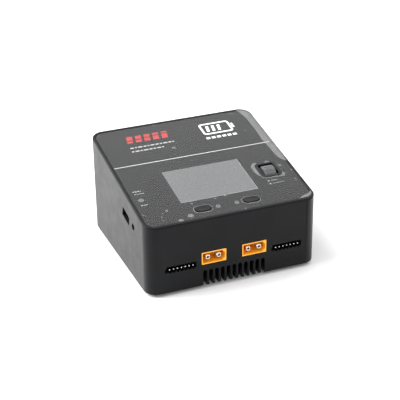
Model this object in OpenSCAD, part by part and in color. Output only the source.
// Two-channel balance battery charger for model aircraft packs.
// Millimetres. X runs left to right, Y front to back, Z up.
// The origin is on the ground, in the middle of the case's footprint.

/* [Case] */
// Width of the case
body_w = 112; // [111:0.5:114]
// Depth of the case
body_d = 107; // [106.5:0.5:109]
// Height of the front wall, without the feet
front_h = 45; // [45:0.5:48]
// Slope of the top, in degrees
slope = 10.5; // [10:0.1:11]
// Radius of the four upright corners
corner_r = 8; // [7.5:0.5:8.5]
// Bevel of the outer top edge
edge_c = 0.6; // [0.4:0.1:0.8]
// Wall thickness
wall = 2.4; // [2.2:0.1:2.6]
// Height of the rubber feet below the case
foot_h = 2; // [1.5:0.1:3]

/* [Top panel] */
// Width of the case rim that frames the panel
rim_w = 2.3; // [2:0.1:2.6]
// Panel thickness
panel_t = 1.8; // [1.6:0.1:1.8]
// Depth of the panel's top face below the rim
panel_drop = 0.2; // [0.1:0.05:0.3]
// Gap around the panel
panel_gap = 0.25; // [0.15:0.05:0.35]
// Width of the display window
window_w = 50.7; // [48:0.1:52]
// Height of the display window, along the slope
window_l = 33.4; // [31:0.1:34]
// Distance of the window's centre from the front edge
window_s = 36.6; // [36:0.1:37]
// Distance of the window's centre left of the middle
window_x = 1.3; // [0:0.1:2]

/* [Controls] */
// Radius of the scroll wheel
wheel_r = 6; // [5.8:0.05:6.2]
// Width of the scroll wheel
wheel_w = 7.7; // [7:0.1:8]
// Grip grooves around the scroll wheel
wheel_grooves = 12; // [8:1:16]
// Travel of a button or of the wheel's click
press_travel = 0.4; // [0.2:0.05:0.4]
// Length of a button cap
button_w = 10.3; // [9:0.1:10.5]
// Width of a button cap
button_d = 5.1; // [4.5:0.1:5.3]

/* [Ports] */
// Distance of each output socket from the middle
socket_x = 13.3; // [12.5:0.1:13.5]
// Height of the output sockets above the case's lower edge
socket_z = 18.7; // [18:0.1:19]
// Distance of each balance port from the middle
balance_x = 34.9; // [34:0.1:35]
// Pins in a balance port
balance_pins = 7; // [3:1:7]
// Air slots in the front wall
front_slots = 11; // [5:2:11]

/* [Cooling] */
// Side of the square fan
fan_w = 40; // [40:1:40]
// Blades on the fan
fan_blades = 7; // [5:1:9]

/* [Hidden] */
$fn = 48;
eps = 0.01;
// case
shell_z = foot_h;
top_z = shell_z + front_h;
top_l = body_d / cos(slope);
top_mid = top_l / 2;
foot_edge = 0.5;
recess = panel_drop + panel_t;
ledge_t = 2.4;
under_top = recess + ledge_t;
in_w = body_w - 2 * wall;
in_d = body_d - 2 * wall;
in_r = corner_r - wall;
front_y = -body_d / 2;
front_in = front_y + wall;
back_in = body_d / 2 - wall;
tall = 100;
// lower cover
cover_z = shell_z + 0.2;
cover_t = 2.4;
cover_top = cover_z + cover_t;
cover_gap = 0.15;
post_r = 4;
post_x = in_w / 2 - post_r + 0.3;
post_y = in_d / 2 - post_r + 0.3;
screw_r = 1.3;
screw_gap = 0.03;
screw_head_r = 2.3;
foot_x = 39;
foot_y = 37;
foot_r = 5;
// panel
panel_w = body_w - 2 * rim_w;
panel_l = top_l - 2 * rim_w - 0.2;
panel_r = corner_r - rim_w;
panel_top = -panel_drop;
film_t = 0.12;
film_inset = 0.4;
opening_x = 47;
opening_s0 = 6.8;
opening_s1 = 62;
// display
lens_gap = 0.05;
display_w = 58;
display_l = 41;
display_t = 3.2;
// wheel
wheel_x = 38.8;
wheel_s = 36.3;
axle_n = -4.3;
axle_r = 0.8;
run_gap = 0.04;
bezel_w = 14.2;
bezel_l = 15;
bezel_r = 3;
bezel_in_w = 10.4;
bezel_in_l = 12;
bezel_top = 0.25;
bezel_lip = 0.9;
flange_t = 0.5;
carrier_in_x = 4.4;
carrier_in_s = 6.7;
carrier_bar = 1.6;
carrier_top = -2.85;
encoder_w = 3.6;
// buttons
button_s = 10.5;
left_button_x = -15.9;
right_button_x = 15.6;
button_gap = 0.35;
button_top = 0.35;
// control board, hung under the top
board_t = 1.6;
control_n = -10.6;
control_top = control_n + board_t;
control_s0 = 7.2;
control_s1 = 60;
boss_x = 50;
boss_s = [16, 56];
boss_r = 2.6;
boss_screw_r = 0.8;
switch_h = 3;
switch_stem_h = 0.4;
button_stem_n = control_top + switch_h + switch_stem_h + press_travel + 0.2;
wheel_switch_h = 1.8;
wheel_stem_h = 0.35;
carrier_bottom = control_top + wheel_switch_h + wheel_stem_h + press_travel + 0.05;
// ports on the left wall
usb_s = 34.9;
usb_n = -14.15;
usb_slot = [12.4, 5.9];
usb_shell = [13.1, 5.7];
usb_len = 14;
usb_sheet = 0.3;
jack_s = 21.7;
jack_n = -12.82;
jack_hole_r = 2.2;
jack_bore_r = 1.8;
jack_len = 14;
// main board
main_z = shell_z + 10.7;
main_top = main_z + board_t;
main_y0 = front_in + 0.4;
main_y1 = 48;
standoff_x = 44.5;
standoff_y = [-36, 32];
standoff_r = 3;
// ribbon between the boards
ribbon_x = -2;
ribbon_s = 47;
ribbon_w = 12;
ribbon_t = 0.6;
ribbon_sag = 4;
plug_h = 3;
ribbon_y = front_y + ribbon_s * cos(slope) - (control_n - plug_h) * sin(slope);
ribbon_z1 = top_z + ribbon_s * sin(slope) + (control_n - plug_h) * cos(slope);
ribbon_z0 = main_top + plug_h;
// output sockets
socket = [16, 8.1];
socket_gap = 0.15;
socket_len = 17;
cavity = [14.6, 6.7];
cavity_depth = 9.5;
cavity_cut = 1.9;
bullet_r = 1.75;
bullet_x = 3.6;
bullet_back = 0.9;
// balance ports
port_pitch = 2.5;
port_w = 20.2;
port_z = [14.1, 18];
port_shift = 0.8;
header_w = 19.9;
header_z = [12.3, 18.8];
header_len = 9.5;
header_wall = 0.8;
pin_z = 15.3;
pin_w = 0.64;
pin_back = 1.2;
// air slots
slot_w = 2.5;
slot_pitch = 3.84;
slot_h = 10.6;
rib_depth = 5.6;
rib_block = [43.5, 10.3];
// fan
fan_x = -23;
fan_z = 35;
fan_t = 10;
fan_bore_r = 19;
fan_hole = 16;
fan_screw_r = 1.5;
fan_head_r = 2.9;
fan_head_depth = 1.4;
hub_r = 8.5;
shaft_r = 1;
fan_y = back_in;
// mains inlet
inlet_x = 24;
inlet_z = 35;
inlet_face = [27, 19.4];
inlet_r = 3;
inlet_gap = 0.2;
inlet_depth = 23;
inlet_cavity = [24.6, 16.8];
inlet_cavity_depth = 16.5;
inlet_cut = 4;
blade = [2, 4];
blade_x = 7;
blade_z = 2;
blade_len = 14;
wire_r = 1;
// heat sinks
sink_w = 80;
sink_y = [-40, 20];
sink_pad_t = 0.5;
sink_base_t = 2;
sink_fins = 20;

// ---- shared shapes ----

// Flat rectangle with round corners, centred
module rounded_square(w, d, r) {
    square([w - 2 * r, d], center = true);
    square([w, d - 2 * r], center = true);
    for (x = [-1, 1], y = [-1, 1])
        translate([x * (w / 2 - r), y * (d / 2 - r)])
            circle(r);
}

// Plate with round corners, standing on z = 0
module plate(w, d, h, r) {
    linear_extrude(h) rounded_square(w, d, r);
}

// Flat strip with fully round ends, centred
module stadium(w, d) {
    square([w - d, d], center = true);
    for (x = [-1, 1])
        translate([x * (w - d) / 2, 0])
            circle(d / 2);
}

// Frame of the sloping top: x across, y up the slope, z out of the surface
module on_top() {
    translate([0, front_y, top_z]) rotate([slope, 0, 0]) children();
}

// Keeps only what lies below height n in the sloping frame
module below_top(n) {
    difference() {
        children();
        on_top() translate([-tall, -tall, n]) cube([2 * tall, 3 * tall, tall]);
    }
}

// A flat drawing of the front wall (x, z above the lower edge), cut to a depth
module through_front(depth) {
    translate([0, front_y + depth, shell_z])
        rotate([90, 0, 0]) linear_extrude(depth + 1) children();
}

// A flat drawing of the rear wall (x, z), cut through it
module through_rear() {
    translate([0, body_d / 2 + 1, 0])
        rotate([90, 0, 0]) linear_extrude(wall + 2) children();
}

// Pan-head screw pointing along +z, head below z = 0
module screw(r, length, head_r, head_h) {
    difference() {
        union() {
            translate([0, 0, -eps]) cylinder(h = length + eps, r = r);
            translate([0, 0, -head_h]) cylinder(h = head_h, r = head_r);
        }
        for (a = [0, 90])
            rotate(a) translate([-head_r * 0.6, -head_r * 0.12, -head_h - 1])
                cube([head_r * 1.2, head_r * 0.24, 1 + head_h * 0.5]);
    }
}

// The four corners of a centred rectangle
module at_corners(x, y) {
    for (i = [-1, 1], j = [-1, 1])
        translate([i * x, j * y, 0]) children();
}

// ---- case ----

// What a chamfer takes off the top edge of a plate that is w by l, top face at z = 0
module edge_chamfer(w, l, r, c) {
    reach = 3;
    profile = [[-c, 0], [reach, -c - reach], [reach, reach], [-c, reach]];
    for (a = [0, 180])
        rotate(a) {
            translate([w / 2, l / 2 - r, 0]) rotate([90, 0, 0])
                linear_extrude(l - 2 * r) polygon(profile);
            translate([r - w / 2, l / 2, 0]) rotate([90, 0, 90])
                linear_extrude(w - 2 * r) polygon(profile);
        }
    for (x = [-1, 1], y = [-1, 1])
        translate([x * (w / 2 - r), y * (l / 2 - r), 0]) intersection() {
            rotate_extrude() translate([r, 0]) polygon(profile);
            translate([x < 0 ? -tall : 0, y < 0 ? -tall : 0, -tall / 2]) cube([tall, tall, tall]);
        }
}

module outer_skin() {
    difference() {
        below_top(0) translate([0, 0, shell_z]) plate(body_w, body_d, tall, corner_r);
        on_top() translate([0, top_mid, 0]) edge_chamfer(body_w, top_l, corner_r, edge_c);
        translate([0, 0, shell_z]) mirror([0, 0, 1])
            edge_chamfer(body_w, body_d, corner_r, foot_edge);
    }
}

module inner_space() {
    below_top(-under_top)
        translate([0, 0, shell_z - 1]) plate(in_w, in_d, tall, in_r);
}

module vent_slot() {
    translate([-slot_w / 2, -1]) square([slot_w, slot_h + 1 - slot_w / 2]);
    translate([0, slot_h - slot_w / 2]) circle(slot_w / 2);
}

module balance_opening() {
    translate([-port_w / 2, port_z[0]]) square([port_w, port_z[1] - port_z[0]]);
    for (i = [0:balance_pins - 1])
        translate([port_shift + (i - (balance_pins - 1) / 2) * port_pitch, port_z[0] + 0.15])
            circle(0.95);
}

module front_openings() {
    for (x = [-socket_x, socket_x])
        translate([x, socket_z])
            square([socket[0] + 2 * socket_gap, socket[1] + 2 * socket_gap], center = true);
    for (x = [-balance_x, balance_x])
        translate([x, 0]) balance_opening();
}

module front_vents() {
    for (i = [0:front_slots - 1])
        translate([(i - (front_slots - 1) / 2) * slot_pitch, 0]) vent_slot();
}

module rear_openings() {
    pitch = 4.2;
    for (i = [-4:4])
        translate([fan_x + i * pitch, fan_z]) rotate(90)
            stadium(2 * sqrt(pow(fan_bore_r - 0.5, 2) - pow(i * pitch, 2)), 2.6);
    for (x = [-1, 1], z = [-1, 1])
        translate([fan_x + x * fan_hole, fan_z + z * fan_hole]) circle(fan_screw_r + 0.15);
    translate([inlet_x, inlet_z])
        rounded_square(inlet_face[0] + 2 * inlet_gap, inlet_face[1] + 2 * inlet_gap, inlet_r);
}

module left_openings() {
    on_top() {
        translate([-body_w / 2 - 1, usb_s - usb_slot[0] / 2, usb_n - usb_slot[1] / 2])
            cube([wall + 2, usb_slot[0], usb_slot[1]]);
        translate([-body_w / 2 - 1, jack_s, jack_n]) rotate([0, 90, 0])
            cylinder(h = wall + 2, r = jack_hole_r);
    }
}

// Posts that take the case screws, and bosses that carry the control board
module inner_posts() {
    below_top(-under_top + 0.5)
        translate([0, 0, cover_top]) at_corners(post_x, post_y) cylinder(h = tall, r = post_r);
    on_top()
        for (x = [-boss_x, boss_x], s = boss_s)
            translate([x, s, control_top])
                cylinder(h = -under_top - control_top + 0.5, r = boss_r);
    translate([-rib_block[0] / 2, front_in - 0.5, shell_z])
        cube([rib_block[0], rib_depth + 0.5, rib_block[1]]);
}

module top_shell() {
    color("#26282a") difference() {
        union() {
            difference() {
                outer_skin();
                inner_space();
            }
            inner_posts();
        }
        translate([0, 0, cover_top - 1]) at_corners(post_x, post_y)
            cylinder(h = 14, r = screw_r);
        on_top() {
            translate([0, top_mid, -recess])
                plate(panel_w + 2 * panel_gap, panel_l + 2 * panel_gap, tall, panel_r + panel_gap);
            translate([-opening_x, opening_s0, -under_top - 0.6])
                cube([2 * opening_x, opening_s1 - opening_s0, under_top]);
            for (x = [-boss_x, boss_x], s = boss_s)
                translate([x, s, control_top - 1]) cylinder(h = 4.5, r = boss_screw_r);
        }
        through_front(wall + 0.2) front_openings();
        through_front(wall + rib_depth + 1) front_vents();
        left_openings();
        through_rear() rear_openings();
        translate([fan_x, body_d / 2 - fan_head_depth, fan_z]) rotate([-90, 0, 0])
            at_corners(fan_hole, fan_hole) cylinder(h = 3, r = fan_head_r);
    }
}

module bottom_cover() {
    color("#1e1f21") difference() {
        union() {
            translate([0, 0, cover_z])
                plate(in_w - 2 * cover_gap, in_d - 2 * cover_gap, cover_t, in_r - cover_gap);
            for (x = [-standoff_x, standoff_x], y = standoff_y)
                translate([x, y, cover_top - eps]) cylinder(h = main_z - cover_top + eps, r = standoff_r);
        }
        translate([-rib_block[0] / 2 - 0.3, front_y, 0])
            cube([rib_block[0] + 0.6, wall + rib_depth + 0.3, 3 * cover_t]);
        translate([0, 0, cover_z - 1]) {
            at_corners(post_x, post_y) cylinder(h = cover_t + 2, r = screw_r + 0.3);
            at_corners(post_x, post_y) cylinder(h = 2.4, r = screw_head_r + 0.3);
            at_corners(foot_x, foot_y) cylinder(h = 1.7, r = foot_r + 0.1);
            plate(52.4, 30.4, 1.15, 2.2);
        }
        for (x = [-standoff_x, standoff_x], y = standoff_y)
            translate([x, y, cover_top]) cylinder(h = tall, r = screw_r);
        for (i = [-5:5])
            translate([i * 4.6, 31, 0]) linear_extrude(tall) rotate(90) stadium(16, 2.2);
    }
}

module rubber_feet() {
    top = cover_z + 0.7;
    color("#161616") at_corners(foot_x, foot_y)
        rotate_extrude() polygon([[0, 0], [foot_r - 0.6, 0], [foot_r, 0.6], [foot_r, top], [0, top]]);
}

module case_screws() {
    head_h = 1.3;
    color("#3a3b3d") translate([0, 0, cover_z + 1.4]) at_corners(post_x, post_y)
        screw(screw_r - screw_gap, 10, screw_head_r, head_h);
}

// Rating plate sticker, left blank
module rating_label() {
    color("#b9bbbc") translate([0, 0, cover_z]) plate(52, 30, 0.15, 2);
}

// ---- top panel and display ----

module wheel_hole(grow) {
    translate([wheel_x, wheel_s]) rounded_square(bezel_w + grow, bezel_l + grow, bezel_r + grow / 2);
}

module button_holes(gap) {
    for (x = [left_button_x, right_button_x])
        translate([x, button_s]) stadium(button_w + 2 * gap, button_d + 2 * gap);
}

module top_panel() {
    color("#4a4b4c") on_top() difference() {
        translate([0, top_mid, -recess]) plate(panel_w, panel_l, panel_t, panel_r);
        translate([0, 0, -recess - 1]) linear_extrude(tall) {
            translate([-window_x, window_s]) square([window_w, window_l], center = true);
            wheel_hole(0.1);
            button_holes(button_gap);
        }
    }
}

module protective_film() {
    color([0.8, 0.8, 0.82, 0.3]) on_top() difference() {
        translate([0, top_mid, panel_top])
            plate(panel_w - 2 * film_inset, panel_l - 2 * film_inset, film_t, panel_r - film_inset);
        translate([0, 0, panel_top - 1]) linear_extrude(2) {
            wheel_hole(1.2);
            button_holes(button_gap + 0.3);
        }
    }
}

module display_lens() {
    color("#9b9d9e") on_top()
        translate([-window_x, window_s, -recess + panel_t / 2])
            cube([window_w - 2 * lens_gap, window_l - 2 * lens_gap, panel_t], center = true);
}

module display_module() {
    border = 2.5;
    bezel_t = 0.6;
    color("#7d8082") on_top() translate([-window_x, window_s, -recess - display_t])
        difference() {
            plate(display_w, display_l, display_t, 0.8);
            translate([0, 0, display_t - bezel_t])
                plate(display_w - 2 * border, display_l - 2 * border, 1, 0.5);
        }
}

// ---- scroll wheel ----

module at_wheel() {
    on_top() translate([wheel_x, wheel_s, axle_n]) children();
}

module across(length, r) {
    rotate([0, 90, 0]) cylinder(h = length, r = r, center = true);
}

module wheel_bezel() {
    color("#1b1c1d") difference() {
        on_top() union() {
            translate([wheel_x, wheel_s, -recess]) plate(bezel_w, bezel_l, recess + bezel_top, bezel_r);
            translate([wheel_x, wheel_s, -recess - flange_t])
                plate(bezel_w + 2 * bezel_lip, bezel_l + 2 * bezel_lip, flange_t, bezel_r);
        }
        on_top() translate([wheel_x, wheel_s, -recess - 1])
            plate(bezel_in_w, bezel_in_l, tall, 1);
        at_wheel() across(wheel_w + 0.8, wheel_r + 0.4);
    }
}

module scroll_wheel() {
    groove_r = 0.9;
    color("#77797b") at_wheel() difference() {
        union() {
            across(wheel_w - 1, wheel_r);
            across(wheel_w, wheel_r - 0.5);
        }
        across(wheel_w + 1, axle_r);
        for (i = [0:wheel_grooves - 1])
            rotate([i * 360 / wheel_grooves, 0, 0])
                translate([0, 0, wheel_r + groove_r * 0.62]) across(wheel_w + 1, groove_r);
    }
}

module wheel_axle() {
    left = carrier_in_x + carrier_bar + encoder_w;
    right = carrier_in_x + carrier_bar;
    color("#c9cacc") at_wheel() translate([-left + 0.2, 0, 0]) rotate([0, 90, 0])
        cylinder(h = left + right - 0.4, r = axle_r);
}

module wheel_carrier() {
    out_x = carrier_in_x + carrier_bar;
    out_s = carrier_in_s + carrier_bar;
    color("#2a2b2d") difference() {
        on_top() translate([wheel_x, wheel_s, carrier_bottom]) difference() {
            plate(2 * out_x, 2 * out_s, carrier_top - carrier_bottom, 0.8);
            translate([-carrier_in_x, -carrier_in_s, -1])
                cube([2 * carrier_in_x, 2 * carrier_in_s, 10]);
        }
        at_wheel() across(4 * out_x, axle_r + run_gap);
    }
}

module wheel_encoder() {
    x1 = -carrier_in_x - carrier_bar;
    color("#31563c") at_wheel() difference() {
        translate([x1 - encoder_w, -4.5, -4.1]) cube([encoder_w, 9, 5.4]);
        translate([x1 - encoder_w - 1, 0, 0]) rotate([0, 90, 0])
            cylinder(h = encoder_w + 2, r = axle_r + run_gap);
    }
}

// Push switch standing on the control board
module push_switch(side, body_h, stem_r, stem_h) {
    translate([-side / 2, -side / 2, 0]) cube([side, side, body_h]);
    translate([0, 0, body_h - eps]) cylinder(h = stem_h + eps, r = stem_r);
}

module wheel_switch() {
    color("#202122") on_top()
        translate([wheel_x, wheel_s + carrier_in_s + carrier_bar / 2, control_top])
            push_switch(3.4, wheel_switch_h, 0.9, wheel_stem_h);
}

// ---- buttons ----

module button(x) {
    flange_h = 0.8;
    flange_n = -recess - 0.4 - flange_h;
    color("#1a1b1c") on_top() translate([x, button_s, 0]) {
        difference() {
            translate([0, 0, flange_n]) linear_extrude(button_top - flange_n)
                stadium(button_w, button_d);
            // shallow dish for the fingertip
            translate([0, 0, button_top + 29.85]) sphere(r = 30, $fn = 160);
        }
        translate([0, 0, flange_n]) linear_extrude(flange_h)
            stadium(button_w + 1.6, button_d + 1.6);
        translate([0, 0, button_stem_n])
            cylinder(h = flange_n - button_stem_n + eps, r = 1.6);
    }
}

module left_button() {
    button(left_button_x);
}

module right_button() {
    button(right_button_x);
}

module button_switch(x) {
    color("#202122") on_top() translate([x, button_s, control_top]) push_switch(6, switch_h, 1.7, switch_stem_h);
}

module left_button_switch() {
    button_switch(left_button_x);
}

module right_button_switch() {
    button_switch(right_button_x);
}

// ---- control board ----

module control_board() {
    notch = 9;
    color("#1f5a3a") on_top() difference() {
        translate([-in_w / 2 + 0.6, control_s0, control_n])
            cube([in_w - 1.2, control_s1 - control_s0, board_t]);
        for (x = [-1, 1])
            translate([x * (in_w / 2 - notch / 2), control_s0, control_n - 1])
                cube([notch, 2 * (notch - 4.5), 2 * board_t + 2], center = true);
        translate([wheel_x, wheel_s, control_n - 1]) plate(10, 11.6, board_t + 2, 1);
        for (x = [-boss_x, boss_x], s = boss_s)
            translate([x, s, control_n - 1]) cylinder(h = board_t + 2, r = 1.2);
    }
}

module control_board_screws() {
    color("#b8babc") on_top()
        for (x = [-boss_x, boss_x], s = boss_s)
            translate([x, s, control_n]) screw(boss_screw_r - screw_gap, 4.5, 1.9, 1);
}

module control_chips() {
    chips = [[-30, 50, 10], [-4, 56, 6], [24, 54, 8]];
    color("#151617") on_top()
        for (c = chips)
            translate([c[0] - c[2] / 2, c[1] - 3.5, control_n - 1.4]) cube([c[2], 7, 1.4]);
}

module buzzer() {
    color("#141415") on_top() translate([30, 20, control_n - 5]) difference() {
        cylinder(h = 5, r = 4.5);
        translate([0, 0, -1]) cylinder(h = 2, r = 1);
    }
}

module usb_port_shell() {
    color("#c2c4c6") on_top()
        translate([-in_w / 2 + 0.1, usb_s, usb_n]) rotate([90, 0, 90]) difference() {
            linear_extrude(usb_len) square(usb_shell, center = true);
            translate([0, 0, -1]) linear_extrude(usb_len)
                square([usb_shell[0] - 2 * usb_sheet, usb_shell[1] - 2 * usb_sheet], center = true);
        }
}

module usb_port_tongue() {
    back_t = 3;
    color("#e8e8e6") on_top()
        translate([-in_w / 2 + 0.1, usb_s, usb_n]) rotate([90, 0, 90]) {
            translate([-5.6, 0.4, 1.4]) cube([11.2, 1.8, usb_len - 1.4 - 2]);
            translate([-6.2, -2.5, usb_len - 1 - back_t]) cube([12.4, 5, back_t]);
        }
}

module service_jack() {
    half_h = control_n - 0.02 - jack_n;
    color("#191a1b") on_top() translate([-in_w / 2 + 0.1, jack_s, jack_n]) difference() {
        translate([0, -3.2, -half_h]) cube([jack_len + 1.5, 6.4, 2 * half_h]);
        translate([-1, 0, 0]) rotate([0, 90, 0]) cylinder(h = jack_len + 1, r = jack_bore_r);
    }
}

// How far the ribbon sags from a straight line, t of the way up
function slack(t) = ribbon_sag * pow(sin(180 * t), 2);

// Ribbon between the two boards, hanging with a little slack
module ribbon_cable() {
    steps = 24;
    rise = ribbon_z1 - ribbon_z0 - 0.3;
    color("#c9cbcd") translate([ribbon_x - ribbon_w / 2, 0, 0])
        rotate([90, 0, 90]) linear_extrude(ribbon_w)
            polygon(concat(
                [for (i = [0:steps]) [ribbon_y - slack(i / steps), ribbon_z0 + rise * i / steps]],
                [for (i = [steps:-1:0])
                    [ribbon_y - slack(i / steps) + ribbon_t, ribbon_z0 + rise * i / steps]]));
}

module ribbon_sockets() {
    color("#dcd9cf") {
        on_top() translate([ribbon_x - ribbon_w / 2 - 1, ribbon_s - 2.5, control_n - plug_h])
            cube([ribbon_w + 2, 5, plug_h]);
        translate([ribbon_x - ribbon_w / 2 - 1, ribbon_y - 2.5, main_top])
            cube([ribbon_w + 2, 5, plug_h]);
    }
}

// ---- main board ----

module main_board() {
    notch = 9.6;
    color("#1f4f38") difference() {
        translate([-in_w / 2 + 1, main_y0, main_z])
            cube([in_w - 2, main_y1 - main_y0, board_t]);
        at_corners(in_w / 2 - notch / 2, in_d / 2 - notch / 2)
            translate([0, 0, main_top]) cube([notch + 0.01, notch + 2, 10], center = true);
        for (x = [-standoff_x, standoff_x], y = standoff_y)
            translate([x, y, main_z - 1]) cylinder(h = board_t + 2, r = 1.7);
    }
}

module main_board_screws() {
    color("#b8babc")
        for (x = [-standoff_x, standoff_x], y = standoff_y)
            translate([x, y, main_top]) mirror([0, 0, 1]) screw(screw_r - screw_gap, 8, 2.6, 1.6);
}

module main_chips() {
    chips = [[-38, -22, 9], [-18, -8, 7], [36, -22, 9], [2, -22, 12], [4, 32, 8]];
    color("#151617")
        for (c = chips)
            translate([c[0] - c[2] / 2, c[1] - 3.5, main_top]) cube([c[2], 7, 1.6]);
}

// Output socket: a rectangular block whose recess is square at one end and cut at the other
module output_socket(x) {
    face_z = shell_z + socket_z;
    w = cavity[0] / 2;
    h = cavity[1] / 2;
    c = cavity_cut;
    color("#f2a21c") translate([x, front_y + 0.1, face_z]) difference() {
        union() {
            translate([-socket[0] / 2, 0, -socket[1] / 2]) cube([socket[0], socket_len, socket[1]]);
            // foot that stands on the board
            translate([-socket[0] / 2, wall + 1, main_top - face_z])
                cube([socket[0], socket_len - wall - 1, face_z - main_top]);
        }
        translate([0, cavity_depth, 0]) rotate([90, 0, 0]) linear_extrude(cavity_depth + 1)
            polygon([[-w, -h], [w - c, -h], [w, -h + c], [w, h - c], [w - c, h], [-w, h]]);
        for (i = [-1, 1])
            translate([i * bullet_x, cavity_depth - 1, 0]) rotate([-90, 0, 0])
                cylinder(h = tall, r = bullet_r + 0.02);
    }
}

// Pair of hollow bullet contacts, each split across its tip
module output_pins(x) {
    depth = 6.5;
    color("#d9d3b8") translate([x, front_y + 0.1 + bullet_back, shell_z + socket_z])
        for (i = [-1, 1])
            translate([i * bullet_x, 0, 0]) rotate([-90, 0, 0]) difference() {
                union() {
                    cylinder(h = 0.5, r1 = bullet_r - 0.4, r2 = bullet_r);
                    translate([0, 0, 0.5 - eps]) cylinder(h = socket_len + 1, r = bullet_r);
                }
                translate([0, 0, -1]) cylinder(h = depth, r = 0.95);
                translate([-2, -0.2, -1]) cube([4, 0.4, depth - 1]);
            }
}

module left_output_socket() {
    output_socket(-socket_x);
}

module left_output_pins() {
    output_pins(-socket_x);
}

module right_output_socket() {
    output_socket(socket_x);
}

module right_output_pins() {
    output_pins(socket_x);
}

module balance_port(x) {
    h = header_z[1] - header_z[0];
    color("#151515") translate([x + port_shift, front_in + 0.35, shell_z + header_z[0]]) difference() {
        translate([-header_w / 2, 0, 0]) cube([header_w, header_len, h]);
        translate([-header_w / 2 + header_wall, -1, header_wall])
            cube([header_w - 2 * header_wall, header_len - 1.5 + 1, h - 2 * header_wall]);
        for (i = [0:balance_pins - 1])
            translate([(i - (balance_pins - 1) / 2) * port_pitch, header_len - 2, pin_z - header_z[0]])
                rotate([-90, 0, 0]) cylinder(h = 4, r = 0.5);
    }
}

module balance_pin_row(x) {
    length = 12;
    color("#d8d8d6") translate([x + port_shift, front_y + pin_back, shell_z + pin_z])
        for (i = [0:balance_pins - 1])
            translate([(i - (balance_pins - 1) / 2) * port_pitch - pin_w / 2, 0, -pin_w / 2])
                cube([pin_w, length, pin_w]);
}

module left_balance_port() {
    balance_port(-balance_x);
}

module left_balance_pins() {
    balance_pin_row(-balance_x);
}

module right_balance_port() {
    balance_port(balance_x);
}

module right_balance_pins() {
    balance_pin_row(balance_x);
}

// ---- power parts on the main board ----

module inductor(x) {
    color("#3b3c3e") translate([x, -24, main_top]) difference() {
        plate(16, 16, 9, 2.5);
        translate([0, 0, 8.2]) cylinder(h = 2, r = 5.5);
    }
}

module left_inductor() {
    inductor(-20);
}

module right_inductor() {
    inductor(20);
}

module capacitor(r, h) {
    difference() {
        cylinder(h = h, r = r);
        for (a = [0, 60, 120])
            rotate(a) translate([-r * 0.7, -0.15, h - 0.3]) cube([r * 1.4, 0.3, 1]);
    }
}

module output_capacitors() {
    spots = [[-4, -30], [5.5, -30], [-46, -12], [46, -12], [-46, 0], [46, -24]];
    color("#23262f")
        for (p = spots)
            translate([p[0], p[1], main_top]) capacitor(4, 14);
}

module upper_heat_sink() {
    fins = 6;
    color("#9a9da0") translate([-30, -12, main_top]) {
        cube([2.5, 46, 22]);
        for (i = [0:fins - 1])
            translate([-7, i * 8.9, 0]) cube([7 + eps, 1.4, 22]);
    }
}

module power_transistors() {
    color("#18191a")
        for (i = [0:3])
            translate([-27.5, -9 + i * 11, main_top + 4]) cube([4.5, 9, 14]);
}

module lower_heat_sink() {
    base_z = main_z - sink_pad_t - sink_base_t;
    fin_h = 4.4;
    step = (sink_w - 1.2) / (sink_fins - 1);
    length = sink_y[1] - sink_y[0];
    color("#a3a6a9") {
        translate([-sink_w / 2, sink_y[0], base_z]) cube([sink_w, length, sink_base_t]);
        for (i = [0:sink_fins - 1])
            translate([-sink_w / 2 + i * step, sink_y[0], base_z - fin_h])
                cube([1.2, length, fin_h + eps]);
    }
}

module thermal_pad() {
    color("#8fa3b5") translate([-sink_w / 2 + 2, sink_y[0] + 2, main_z - sink_pad_t])
        cube([sink_w - 4, sink_y[1] - sink_y[0] - 4, sink_pad_t]);
}

module transformer_core() {
    color("#2e2e30") translate([20, 8, main_top]) difference() {
        translate([-15, -7, 0]) cube([30, 14, 24]);
        for (x = [-1, 1])
            translate([x * 7.5 - 3.5, -8, 4]) cube([7, 16, 16]);
    }
}

module transformer_winding() {
    color("#c9a227") translate([20, 8, main_top + 4.2]) difference() {
        plate(20.6, 26, 15.6, 3);
        translate([-4.1, -7.1, -1]) cube([8.2, 14.2, 20]);
    }
}

module bulk_capacitor() {
    color("#1c2433") translate([-10, 20, main_top]) capacitor(9, 28);
}

module line_filter() {
    color("#5d3a22") translate([43, 14, main_top]) difference() {
        plate(13, 20, 16, 2);
        translate([0, 0, -1]) plate(4, 8, 20, 1.5);
    }
}

module fuse() {
    color("#d6d2c4") translate([-45, 17, main_top + 3]) {
        rotate([90, 0, 0]) cylinder(h = 16, r = 2.2, center = true);
        for (y = [-1, 1])
            translate([0, y * 8, 0]) {
                rotate([90, 0, 0]) cylinder(h = 4, r = 2.6, center = true);
                translate([-0.5, -1, -3]) cube([1, 2, 1.5]);
            }
    }
}

// ---- mains inlet ----

module inlet_profile(w, h, cut) {
    polygon([[-w / 2, -h / 2], [w / 2, -h / 2], [w / 2, h / 2 - cut], [w / 2 - cut, h / 2],
        [-w / 2 + cut, h / 2], [-w / 2, h / 2 - cut]]);
}

module mains_inlet() {
    face_y = body_d / 2 - 0.2;
    color("#141414") translate([inlet_x, face_y, inlet_z]) rotate([90, 0, 0]) difference() {
        union() {
            linear_extrude(inlet_depth) rounded_square(inlet_face[0], inlet_face[1], inlet_r);
            // flange behind the wall
            translate([0, 0, wall - 0.2 + 0.05])
                linear_extrude(2) rounded_square(inlet_face[0] + 5, inlet_face[1] + 5, inlet_r);
        }
        translate([0, 0, -1]) linear_extrude(inlet_cavity_depth + 1)
            inlet_profile(inlet_cavity[0], inlet_cavity[1], inlet_cut);
        blade_spots() translate([-blade[0] / 2 - 0.02, -blade[1] / 2 - 0.02, 0])
            cube([blade[0] + 0.04, blade[1] + 0.04, tall]);
    }
}

module blade_spots() {
    translate([-blade_x, -blade_z, 0]) children();
    translate([blade_x, -blade_z, 0]) children();
    translate([0, blade_z, 0]) children();
}

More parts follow.
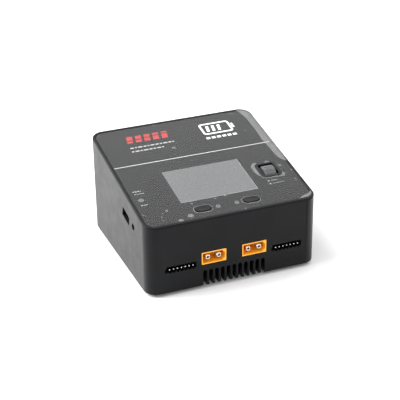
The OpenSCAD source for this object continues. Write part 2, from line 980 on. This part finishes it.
module mains_blades() {
    start = inlet_cavity_depth - blade_len;
    color("#c8c9ca") translate([inlet_x, body_d / 2 - 0.2, inlet_z]) rotate([90, 0, 0])
        blade_spots() translate([-blade[0] / 2, -blade[1] / 2, start])
            cube([blade[0], blade[1], inlet_depth + 3 - start]);
}

// Wire from a blade's tail, forward and down to the board
module mains_wire(x, z, reach) {
    tail_y = body_d / 2 - 0.2 - inlet_depth - 3;
    translate([inlet_x + x, tail_y, inlet_z + z]) {
        rotate([90, 0, 0]) cylinder(h = reach, r = wire_r);
        translate([0, -reach, 0]) sphere(r = wire_r);
        translate([0, -reach, -(inlet_z + z - main_top)])
            cylinder(h = inlet_z + z - main_top, r = wire_r);
    }
}

module live_wire() {
    color("#6b4226") mains_wire(-blade_x, -blade_z, 3);
}

module neutral_wire() {
    color("#2f5f9e") mains_wire(blade_x, -blade_z, 3);
}

module earth_wire() {
    color("#7fa236") mains_wire(0, blade_z, 3);
}

// ---- fan ----

module at_fan() {
    translate([fan_x, fan_y, fan_z]) rotate([90, 0, 0]) children();
}

module fan_frame() {
    color("#1c1d1e") at_fan() {
        difference() {
            plate(fan_w, fan_w, fan_t, 2.5);
            translate([0, 0, -1]) cylinder(h = fan_t + 2, r = fan_bore_r);
            at_corners(fan_hole, fan_hole)
                translate([0, 0, -1]) cylinder(h = fan_t + 2, r = fan_screw_r);
        }
        difference() {
            union() {
                cylinder(h = 1.4, r = 8);
                for (a = [45, 135])
                    rotate(a) translate([-fan_bore_r - 1, -1.2, 0])
                        cube([2 * fan_bore_r + 2, 2.4, 1.4]);
                cylinder(h = 5.5, r = 2.4);
            }
            translate([0, 0, -1]) cylinder(h = 10, r = shaft_r + run_gap);
        }
    }
}

module fan_rotor() {
    cup_z = 2.2;
    cup_h = 6.8;
    color("#232425") at_fan() {
        difference() {
            translate([0, 0, cup_z]) cylinder(h = cup_h, r = hub_r);
            translate([0, 0, cup_z - 1]) cylinder(h = cup_h, r = hub_r - 1.2);
        }
        translate([0, 0, 0.3]) cylinder(h = cup_z + cup_h - 0.5, r = shaft_r);
        intersection() {
            for (i = [0:fan_blades - 1])
                rotate(i * 360 / fan_blades) translate([hub_r - 0.6, 0, 5.5]) rotate([38, 0, 0])
                    translate([0, -6.5, -0.5]) cube([12, 13, 1]);
            difference() {
                translate([0, 0, 2]) cylinder(h = 7.4, r = fan_bore_r - 0.7);
                cylinder(h = 12, r = hub_r - 0.6);
            }
        }
    }
}

module fan_screws() {
    color("#3a3b3d") translate([fan_x, body_d / 2 - fan_head_depth, fan_z]) rotate([90, 0, 0])
        at_corners(fan_hole, fan_hole) screw(fan_screw_r - screw_gap, 9.5, 2.7, fan_head_depth - 0.1);
}

top_shell();
bottom_cover();
rubber_feet();
case_screws();
rating_label();
top_panel();
protective_film();
display_lens();
display_module();
wheel_bezel();
scroll_wheel();
wheel_axle();
wheel_carrier();
wheel_encoder();
wheel_switch();
left_button();
right_button();
left_button_switch();
right_button_switch();
control_board();
control_board_screws();
control_chips();
buzzer();
usb_port_shell();
usb_port_tongue();
service_jack();
ribbon_cable();
ribbon_sockets();
main_board();
main_board_screws();
main_chips();
left_output_socket();
left_output_pins();
right_output_socket();
right_output_pins();
left_balance_port();
left_balance_pins();
right_balance_port();
right_balance_pins();
left_inductor();
right_inductor();
output_capacitors();
upper_heat_sink();
power_transistors();
lower_heat_sink();
thermal_pad();
transformer_core();
transformer_winding();
bulk_capacitor();
line_filter();
fuse();
mains_inlet();
mains_blades();
live_wire();
neutral_wire();
earth_wire();
fan_frame();
fan_rotor();
fan_screws();
